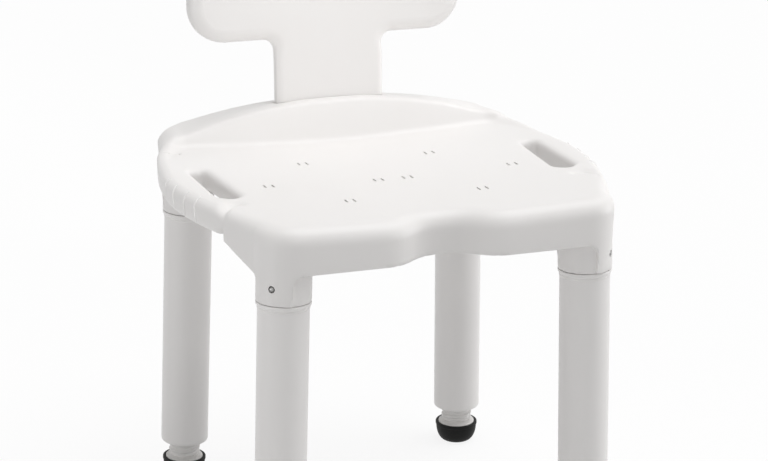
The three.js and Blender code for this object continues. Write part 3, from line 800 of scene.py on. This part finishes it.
def slot_cutter_tree():
    """An upright prism with round ends, stood on every point."""
    tree, given, out = new_tree("Drain slots", ["Width", "Length", "Depth"])
    section = add_node(tree, "GeometryNodeCurvePrimitiveQuadrilateral",
                       Width=given.outputs["Width"], Height=given.outputs["Length"])
    end_radius = sums(tree, "MULTIPLY", given.outputs["Width"], 0.495)
    rounded = add_node(tree, "GeometryNodeFilletCurve", {"mode": "POLY"}, Count=5,
                       Curve=section.outputs["Curve"], Radius=end_radius)
    flat = add_node(tree, "GeometryNodeFillCurve", {"mode": "NGONS"},
                    Curve=rounded.outputs["Curve"])
    walls = add_node(tree, "GeometryNodeExtrudeMesh", Individual=False, Mesh=flat.outputs["Mesh"],
                     Offset_Scale=given.outputs["Depth"])
    base = add_node(tree, "GeometryNodeFlipFaces", Mesh=flat.outputs["Mesh"])
    prism = add_node(tree, "GeometryNodeJoinGeometry", Geometry=walls.outputs["Mesh"])
    tree.links.new(base.outputs["Mesh"], prism.inputs["Geometry"])
    stood = add_node(tree, "GeometryNodeInstanceOnPoints", Points=given.outputs["Geometry"],
                     Instance=prism.outputs["Geometry"])
    finish_tree(tree, stood.outputs["Instances"], given, out)
    return tree


def bead_tree():
    """A round bead along each line of the mesh."""
    tree, given, out = new_tree("Raised lines", ["Radius"])
    line = add_node(tree, "GeometryNodeMeshToCurve", Mesh=given.outputs["Geometry"])
    section = add_node(tree, "GeometryNodeCurvePrimitiveCircle", Resolution=10,
                       Radius=given.outputs["Radius"])
    sweep = add_node(tree, "GeometryNodeCurveToMesh", Fill_Caps=True, Curve=line.outputs["Curve"],
                     Profile_Curve=section.outputs["Curve"])
    smooth = add_node(tree, "GeometryNodeSetShadeSmooth", Geometry=sweep.outputs["Mesh"])
    finish_tree(tree, smooth.outputs["Geometry"], given, out)
    return tree


def grown(name, base, tree, sizes, material=None):
    """The plain mesh that a tree makes of a base mesh."""
    obj = in_scene(name + "_base", base)
    modifier = obj.modifiers.new("Grow", "NODES")
    modifier.node_group = tree
    for item in tree.interface.items_tree:
        if item.in_out == "INPUT" and item.name in sizes:
            modifier[item.identifier] = sizes[item.name] * MM
        if item.in_out == "INPUT" and item.name == "Material" and material:
            modifier[item.identifier] = material
    bpy.context.view_layer.update()
    graph = bpy.context.evaluated_depsgraph_get()
    mesh = bpy.data.meshes.new_from_object(obj.evaluated_get(graph))
    obj.modifiers.clear()
    bpy.data.objects.remove(obj)
    mesh.name = name
    return in_scene(name, mesh)


# ---- Cuts ----
DRAIN_PLACES = [(15.5, -36.5), (69, 38), (69.5, -101), (130, -35)]
DRAIN_PITCH = 8.5
DRAIN_SIZE = {"Width": 2.4, "Length": 9.5, "Depth": 18}
DRAIN_BOTTOM = DECK - 11


def drain_cutters():
    """Upright prisms for the drain slots, which stand in pairs."""
    points = [(side * (x + half * DRAIN_PITCH), y, DRAIN_BOTTOM)
              for x, y in DRAIN_PLACES for side in (-1, 1) for half in (-0.5, 0.5)]
    base = bpy.data.meshes.new("drain_places")
    base.from_pydata((np.array(points) * MM).tolist(), [], [])
    return grown("drain_cutters", base, slot_cutter_tree(), DRAIN_SIZE)


def button_cutter(name):
    """The snap button's hole, with a little countersink at the socket's face."""
    profile = np.array([
        (0, 17.5), (HOLE_RADIUS, 17.5), (HOLE_RADIUS, 26.4), (COUNTERSINK_RADIUS, 27.4),
        (COUNTERSINK_RADIUS, 36), (0, 36)], float)
    return turned(f"hole_{name}", profile, *button_axis(name), 36)


def joined(name, objects):
    """One object of several, which are removed."""
    work = bmesh.new()
    for obj in objects:
        work.from_mesh(obj.data)
    mesh = bpy.data.meshes.new(name)
    work.to_mesh(mesh)
    work.free()
    for obj in objects:
        bpy.data.objects.remove(obj)
    return in_scene(name, mesh)


def cut(obj, cutter, smooth_angle=50):
    """Takes the cutter out of the object, and keeps the result as a plain mesh."""
    modifier = obj.modifiers.new("Cut", "BOOLEAN")
    modifier.operation = "DIFFERENCE"
    modifier.solver = "EXACT"
    modifier.object = cutter
    bpy.context.view_layer.update()
    graph = bpy.context.evaluated_depsgraph_get()
    mesh = bpy.data.meshes.new_from_object(obj.evaluated_get(graph))
    obj.modifiers.clear()
    mesh.name = obj.name
    obj.data = mesh
    obj.data.set_sharp_from_angle(angle=math.radians(smooth_angle))


# ---- Pieces ----
GRIP_LINES = [  # y at the top and at the foot of each raised line over a grip bar
    (14, 19), (-9, -14), (-36, -38), (-57, -62)]
GRIP_LINE_RADIUS = 1.1
GRIP_LINE_SUNK = 0.1
GRIP_LINE_ANGLES = (28, 120)      # round the bar's core, from straight up
GRIP_LINE_STEPS = 29
GRIP_CORE_DEPTH = 11        # below the deck
GRIP_CORE = [(-101, -20), (-64, -12), (-33, -5), (0, 0), (50, -6)]    # y, and how its x changes
GRIP_CORE_INSET = 12
SEAT_BOX = ((-228, -194, 294), (228, 194, 418))
SEAT_GRID = 2.6
BACK_BOX = ((-155, -4, -62), (155, 33, 232))
BACK_GRID = 2.0


def surface_along(origin, direction):
    """Where a ray from inside the plastic comes out, less the depth that a line is sunk."""
    distances = np.linspace(0, 30, 60)
    values = seat_field(origin + distances[:, None] * direction)
    outside = np.argmax(values > 0)
    low, high = distances[outside - 1], distances[outside]
    for _ in range(12):
        middle = (low + high) / 2
        value = seat_field(origin[None, :] + middle * direction)[0]
        low, high = (middle, high) if value < 0 else (low, middle)
    return origin + (low - GRIP_LINE_SUNK) * direction


def grip_lines():
    """The fine raised lines that cross each grip bar."""
    vertices, edges = [], []
    angles = np.radians(np.linspace(*GRIP_LINE_ANGLES, GRIP_LINE_STEPS + 1))
    for side in (-1, 1):
        for top, foot in GRIP_LINES:
            for step, angle in enumerate(angles):
                y = mix(top, foot, step / GRIP_LINE_STEPS)
                core = SEAT_HIGH[0] - GRIP_CORE_INSET + float(np.interp(y, *zip(*GRIP_CORE)))
                centre = np.array([side * core, y, DECK - GRIP_CORE_DEPTH])
                direction = np.array([side * math.sin(angle), 0, math.cos(angle)])
                if step:
                    edges.append((len(vertices) - 1, len(vertices)))
                vertices.append(surface_along(centre, direction))
    base = bpy.data.meshes.new("grip_line_paths")
    base.from_pydata((np.array(vertices) * MM).tolist(), edges, [])
    return grown("grip_lines", base, bead_tree(), {"Radius": GRIP_LINE_RADIUS}, LINE_HIGHLIGHT_WHITE)


def seat():
    vertices, faces = contour(seat_field, *SEAT_BOX, SEAT_GRID)
    obj = make_object("seat", vertices, faces)
    cutter = joined("cutters", [drain_cutters(), *[button_cutter(n) for n in LEG_NAMES]])
    cut(obj, cutter)
    bpy.data.objects.remove(cutter)
    return obj


def backrest():
    vertices, faces = contour(back_field, *BACK_BOX, BACK_GRID)
    turn = Matrix.Rotation(-LEAN, 3, "X")
    vertices = vertices @ np.array(turn).T + BACK_ORIGIN
    return make_object("backrest_moulding", vertices, faces)


def fit(obj, body, slot, material, *nodes):
    """Gives a piece its material, the body it moves with and the CAD nodes it stands for."""
    obj.data.materials.clear()
    obj.data.materials.append(material)
    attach(obj, body)
    if nodes:
        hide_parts(*nodes)


# ---- Camera ----
CAMERA_TURN = math.radians(-21.3734)
CAMERA_HEIGHT = math.radians(17.0482)
CAMERA_ROLL = math.radians(0.8009)
CAMERA_DISTANCE = 2647.28
CAMERA_TARGET = np.array([-12.49, -46.10, 321.29])
CAMERA_LENS = 124.49


def make_camera():
    back = np.array([math.sin(CAMERA_TURN) * math.cos(CAMERA_HEIGHT),
                     -math.cos(CAMERA_TURN) * math.cos(CAMERA_HEIGHT), math.sin(CAMERA_HEIGHT)])
    right = np.array([math.cos(CAMERA_TURN), math.sin(CAMERA_TURN), 0])
    up = np.cross(back, right)
    level = Matrix([[r, u, b] for r, u, b in zip(right, up, back)]).to_4x4()
    camera = in_scene("camera", bpy.data.cameras.new("camera"))
    camera.data.lens = CAMERA_LENS
    camera.data.sensor_width = 36
    camera.data.clip_end = 100
    camera.matrix_world = (Matrix.Translation((CAMERA_TARGET + back * CAMERA_DISTANCE) * MM) @ level
                           @ Matrix.Rotation(CAMERA_ROLL, 4, "Z"))
    bpy.context.scene.camera = camera


# ---- Materials ----
def new_group(name, inputs, outputs):
    """A shader group whose inputs have a number to start with."""
    tree = bpy.data.node_groups.new(name, "ShaderNodeTree")
    for label, start in inputs.items():
        socket = tree.interface.new_socket(label, in_out="INPUT", socket_type="NodeSocketFloat")
        socket.default_value = start
    for label in outputs:
        tree.interface.new_socket(label, in_out="OUTPUT", socket_type="NodeSocketFloat")
    return tree, tree.nodes.new("NodeGroupInput"), tree.nodes.new("NodeGroupOutput")


def noise(tree, place, scale, detail, roughness):
    node = add_node(tree, "ShaderNodeTexNoise", Vector=place, Scale=scale, Detail=detail,
                    Roughness=roughness)
    return node.outputs["Fac"]


def between(tree, value, low, high, to_low=0.0, to_high=1.0):
    """A smooth step in a value, from low to high."""
    node = add_node(tree, "ShaderNodeMapRange", {"interpolation_type": "SMOOTHSTEP"}, Value=value,
                    From_Min=low, From_Max=high, To_Min=to_low, To_Max=to_high)
    return node.outputs["Result"]


def blended(tree, share, first, second):
    node = add_node(tree, "ShaderNodeMix", {"data_type": "RGBA"}, Factor=share, A=first, B=second)
    return node.outputs["Result"]


def object_place(tree):
    return tree.nodes.new("ShaderNodeTexCoord").outputs["Object"]


def moulding_group():
    """Moulded plastic: slow drift of tone, flow from the gates and a fine satin grain."""
    tree, given, out = new_group(
        "Moulded surface", {"Grain scale": 900.0, "Tone scale": 9.0},
        ["Tone", "Grain", "Height"])
    place = object_place(tree)
    tone = noise(tree, place, given.outputs["Tone scale"], 4.0, 0.6)
    grain = noise(tree, place, given.outputs["Grain scale"], 2.0, 0.6)
    waves = noise(tree, place, 42.0, 2.0, 0.4)
    tree.links.new(between(tree, tone, 0.3, 0.7), out.inputs["Tone"])
    tree.links.new(grain, out.inputs["Grain"])
    fine = sums(tree, "MULTIPLY", grain, 0.28)
    tree.links.new(sums(tree, "ADD", fine, waves), out.inputs["Height"])
    return tree


def wear_group():
    """Edges that hands and feet have polished, and concave corners."""
    tree, given, out = new_group(
        "Edge wear", {"Edge": 0.52, "Corner": 0.47, "Breakup scale": 60.0},
        ["Edges", "Corners"])
    bend = tree.nodes.new("ShaderNodeNewGeometry").outputs["Pointiness"]
    broken = noise(tree, object_place(tree), given.outputs["Breakup scale"], 4.0, 0.65)
    part = between(tree, broken, 0.35, 0.65)
    edge_end = sums(tree, "ADD", given.outputs["Edge"], 0.05)
    corner_end = sums(tree, "SUBTRACT", given.outputs["Corner"], 0.05)
    edges = between(tree, bend, given.outputs["Edge"], edge_end)
    corners = between(tree, bend, given.outputs["Corner"], corner_end)
    tree.links.new(sums(tree, "MULTIPLY", edges, part), out.inputs["Edges"])
    tree.links.new(sums(tree, "MULTIPLY", corners, part), out.inputs["Corners"])
    return tree


def scuff_group():
    """Fine scratches in two directions, from cleaning and from sliding pieces."""
    tree, given, out = new_group(
        "Scuffs", {"Amount": 0.5, "Scale": 30.0}, ["Mask"])
    place = object_place(tree)
    masks = []
    for turn in (0.5, 2.2):
        mapping = add_node(tree, "ShaderNodeMapping", Vector=place,
                           Rotation=(0.3 * turn, 0.2, turn), Scale=(1, 28, 4))
        lines = noise(tree, mapping.outputs["Vector"], given.outputs["Scale"], 3.0, 0.7)
        masks.append(between(tree, lines, 0.66, 0.74))
    both = sums(tree, "MAXIMUM", *masks)
    tree.links.new(sums(tree, "MULTIPLY", both, given.outputs["Amount"]), out.inputs["Mask"])
    return tree


def placed_group(tree, group, **values):
    return add_node(tree, "ShaderNodeGroup", {"node_tree": GROUPS[group]}, **values)


def new_material(name):
    material = bpy.data.materials.new(name)
    material.use_nodes = True
    tree = material.node_tree
    return material, tree, tree.nodes["Principled BSDF"]


def add_bump(tree, shader, height, distance):
    bump = add_node(tree, "ShaderNodeBump", Strength=1, Distance=distance, Height=height)
    tree.links.new(bump.outputs["Normal"], shader.inputs["Normal"])


CORNER_DARK_SHARE = (0.8, 0.79, 0.74)   # what is left of each colour where it is darkened in concave corners


def plastic(name, colour, tint, roughness, grain_scale=900.0, scuffs=0.4):
    """A satin moulded plastic: tint is its tone where it is thickest, and in its corners."""
    material, tree, shader = new_material(name)
    mould = placed_group(tree, "mould", Grain_scale=grain_scale)
    wear = placed_group(tree, "wear")
    scuff = placed_group(tree, "scuff", Amount=scuffs)
    drift = sums(tree, "MULTIPLY", mould.outputs["Tone"], 0.35)
    toned = blended(tree, drift, (*colour, 1), (*tint, 1))
    # Concave corners are darkened towards a darker share of the tint.
    corner_darkening = sums(tree, "MULTIPLY", wear.outputs["Corners"], 0.3)
    corner_dark_tone = (*[part * share for part, share in zip(tint, CORNER_DARK_SHARE)], 1)
    tree.links.new(blended(tree, corner_darkening, toned, corner_dark_tone), shader.inputs["Base Color"])
    satin = between(tree, mould.outputs["Grain"], 0.3, 0.7, roughness - 0.04, roughness + 0.05)
    polished = sums(tree, "SUBTRACT", satin, sums(tree, "MULTIPLY", wear.outputs["Edges"], 0.08))
    tree.links.new(sums(tree, "ADD", polished, sums(tree, "MULTIPLY", scuff.outputs["Mask"], 0.12)),
                   shader.inputs["Roughness"])
    surface = sums(tree, "SUBTRACT", mould.outputs["Height"],
                   sums(tree, "MULTIPLY", scuff.outputs["Mask"], 0.12))
    add_bump(tree, shader, surface, 0.00012)
    shader.inputs["IOR"].default_value = 1.49
    return material


def rubber():
    """Black rubber, with a bloom on its edges and dust where it meets the floor."""
    material, tree, shader = new_material("foot_rubber")
    mould = placed_group(tree, "mould", Grain_scale=1500.0, Tone_scale=40.0)
    wear = placed_group(tree, "wear", Edge=0.53, Breakup_scale=160.0)
    toned = blended(tree, mould.outputs["Tone"],
                    (0.0045, 0.0048, 0.0044, 1), (0.0075, 0.0078, 0.0071, 1))
    height = add_node(tree, "ShaderNodeSeparateXYZ", Vector=object_place(tree))
    low = between(tree, height.outputs["Z"], 0.007, 0.0)
    dust = sums(tree, "MULTIPLY", low, mould.outputs["Grain"])
    bloom = sums(tree, "MAXIMUM", sums(tree, "MULTIPLY", dust, 0.35),
                 sums(tree, "MULTIPLY", wear.outputs["Edges"], 0.25))
    worn = blended(tree, bloom, toned, (0.06, 0.058, 0.052, 1))
    tree.links.new(worn, shader.inputs["Base Color"])
    satin = between(tree, mould.outputs["Grain"], 0.3, 0.7, 0.5, 0.62)
    tree.links.new(satin, shader.inputs["Roughness"])
    add_bump(tree, shader, mould.outputs["Height"], 0.00018)
    shader.inputs["Specular IOR Level"].default_value = 0.18
    return material


def spring_steel():
    material, tree, shader = new_material("spring_steel")
    mould = placed_group(tree, "mould", Grain_scale=1400.0, Tone_scale=60.0)
    scuff = placed_group(tree, "scuff", Amount=1.0, Scale=120.0)
    toned = blended(tree, mould.outputs["Tone"], (0.34, 0.34, 0.335, 1), (0.29, 0.29, 0.285, 1))
    tree.links.new(toned, shader.inputs["Base Color"])
    shader.inputs["Metallic"].default_value = 1
    worn = sums(tree, "MULTIPLY", scuff.outputs["Mask"], 0.15)
    grain = between(tree, mould.outputs["Grain"], 0.3, 0.7, 0.24, 0.34)
    tree.links.new(sums(tree, "ADD", grain, worn), shader.inputs["Roughness"])
    add_bump(tree, shader, scuff.outputs["Mask"], 0.00003)
    return material


# ---- Floor, backdrop and light ----
FLOOR_SIZE = 40
FLOOR_SHOW = 0.86      # share of plain white in what the camera sees of the floor
FLOOR_TONE = 0.98      # the floor's colour there
FLOOR_BOUNCE = 0.62    # how much of the light on it the floor sends back up
AMBIENT = 0.37
SUN_STRENGTH = 1.68
SUN_ANGLE = math.radians(50)
SUN_FROM = Vector((0.16, -0.03, 0.50))
SIDE_LAMP_PLACE = Vector((3.3, -0.6, 0.30))
SIDE_LAMP_AIM = Vector((0.1, 0, 0.30))
SIDE_LAMP_SIZE = 1.4
SIDE_LAMP_POWER = 30
LEFT_LAMP_PLACE = Vector((-2.0, -0.5, 0.25))
LEFT_LAMP_AIM = Vector((0, 0, 0.28))
LEFT_LAMP_SIZE = 0.8
LEFT_LAMP_POWER = 6.5
BACK_LAMP_PLACE = Vector((0.5, -2.6, 1.75))
BACK_LAMP_AIM = Vector((0, 0.15, 0.66))
BACK_LAMP_CONE = math.radians(11)
BACK_LAMP_BLEND = 0.35
BACK_LAMP_SIZE = 0.25
BACK_LAMP_POWER = 138


def camera_rays(tree):
    """1 for rays from the camera and for those that gloss and glass send on."""
    path = tree.nodes.new("ShaderNodeLightPath")
    seen = sums(tree, "MAXIMUM", path.outputs["Is Camera Ray"], path.outputs["Is Glossy Ray"])
    return sums(tree, "MAXIMUM", seen, path.outputs["Is Transmission Ray"])


def make_floor():
    half = FLOOR_SIZE / 2
    mesh = bpy.data.meshes.new("floor")
    corners = [(-half, -half, 0), (half, -half, 0), (half, half, 0), (-half, half, 0)]
    mesh.from_pydata(corners, [], [(0, 1, 2, 3)])
    floor = in_scene("floor", mesh)
    material, tree, shader = new_material("pale_floor")
    bounce, shown = [(tone, tone, tone, 1) for tone in (FLOOR_BOUNCE, FLOOR_TONE)]
    tone = blended(tree, camera_rays(tree), bounce, shown)
    tree.links.new(tone, shader.inputs["Base Color"])
    shader.inputs["Roughness"].default_value = 1
    shader.inputs["Specular IOR Level"].default_value = 0
    white = add_node(tree, "ShaderNodeEmission", Strength=1)
    share = sums(tree, "MULTIPLY", camera_rays(tree), FLOOR_SHOW)
    mixed = tree.nodes.new("ShaderNodeMixShader")
    tree.links.new(share, mixed.inputs["Fac"])
    tree.links.new(shader.outputs["BSDF"], mixed.inputs[1])
    tree.links.new(white.outputs["Emission"], mixed.inputs[2])
    tree.links.new(mixed.outputs["Shader"], tree.nodes["Material Output"].inputs["Surface"])
    mesh.materials.append(material)


def add_lamp(name, kind, place, aim, power):
    """A lamp at a place, turned to what it is aimed at."""
    lamp = in_scene(name, bpy.data.lights.new(name, kind))
    lamp.data.energy = power
    turn = (place - aim).to_track_quat("Z", "Y").to_matrix().to_4x4()
    lamp.matrix_world = Matrix.Translation(place) @ turn
    return lamp.data


def make_light():
    world = bpy.data.worlds.new("studio")
    world.use_nodes = True
    tree = world.node_tree
    ambient = tree.nodes["Background"]
    ambient.inputs["Color"].default_value = (1, 1, 1, 1)
    ambient.inputs["Strength"].default_value = AMBIENT
    white = add_node(tree, "ShaderNodeBackground", Color=(1, 1, 1, 1))
    mixed = tree.nodes.new("ShaderNodeMixShader")
    tree.links.new(camera_rays(tree), mixed.inputs["Fac"])
    tree.links.new(ambient.outputs["Background"], mixed.inputs[1])
    tree.links.new(white.outputs["Background"], mixed.inputs[2])
    tree.links.new(mixed.outputs["Shader"], tree.nodes["World Output"].inputs["Surface"])
    bpy.context.scene.world = world
    sun = in_scene("sun", bpy.data.lights.new("sun", "SUN"))
    sun.data.energy = SUN_STRENGTH
    sun.data.angle = SUN_ANGLE
    sun.matrix_world = SUN_FROM.to_track_quat("Z", "Y").to_matrix().to_4x4()
    side = add_lamp("side_lamp", "AREA", SIDE_LAMP_PLACE, SIDE_LAMP_AIM, SIDE_LAMP_POWER)
    side.size = SIDE_LAMP_SIZE
    left = add_lamp("left_lamp", "AREA", LEFT_LAMP_PLACE, LEFT_LAMP_AIM, LEFT_LAMP_POWER)
    left.size = LEFT_LAMP_SIZE
    back = add_lamp("back_lamp", "SPOT", BACK_LAMP_PLACE, BACK_LAMP_AIM, BACK_LAMP_POWER)
    back.spot_size = BACK_LAMP_CONE
    back.spot_blend = BACK_LAMP_BLEND
    back.shadow_soft_size = BACK_LAMP_SIZE


# ---- The chair ----
make_camera()
make_floor()
make_light()
bpy.context.scene.view_settings.view_transform = "Standard"

GROUPS = {"mould": moulding_group(), "wear": wear_group(), "scuff": scuff_group()}
WHITE = plastic("seat_plastic", (0.905, 0.887, 0.875), (0.895, 0.875, 0.855), 0.42)
TUBE_WHITE = plastic("tube_plastic", (0.93, 0.912, 0.90), (0.915, 0.896, 0.88), 0.36, 700.0, 0.6)
# The raised lines get a lighter white than the seat's: a painted highlight, as if they caught the light.
LINE_HIGHLIGHT_WHITE = plastic("line_plastic", (0.97, 0.955, 0.945), (0.96, 0.945, 0.93), 0.2, 1200.0, 0.2)
LINE_HIGHLIGHT_WHITE.node_tree.nodes["Principled BSDF"].inputs["Specular IOR Level"].default_value = 1
STEM_WHITE = plastic("stem_plastic", (0.80, 0.785, 0.77), (0.76, 0.745, 0.72), 0.45, 1200.0)
RUBBER = rubber()
STEEL = spring_steel()

fit(seat(), "root", "seat_plastic", WHITE, "seat_shell")
fit(grip_lines(), "root", "seat_plastic", LINE_HIGHLIGHT_WHITE)
fit(backrest(), "backrest", "seat_plastic", WHITE, "backrest")
for leg in LEG_NAMES:
    tube = leg_tube(leg)
    hole = button_cutter(leg)
    cut(tube, hole, 40)
    bpy.data.objects.remove(hole)
    fit(tube, "root", "tube_plastic", TUBE_WHITE, f"leg_tube_{leg}")
    fit(foot_stem(leg), f"stem_{leg}", "stem_plastic", STEM_WHITE, f"foot_stem_{leg}")
    fit(rubber_foot(leg), f"foot_{leg}", "foot_rubber", RUBBER, f"rubber_foot_{leg}")
    fit(snap_button(leg), f"button_{leg}", "spring_steel", STEEL, f"snap_button_{leg}")
    for node, material in ((f"thread_bush_{leg}", STEM_WHITE), (f"button_spring_{leg}", STEEL)):
        mesh = frame["nodes"][node].data
        mesh.materials.clear()
        mesh.materials.append(material)
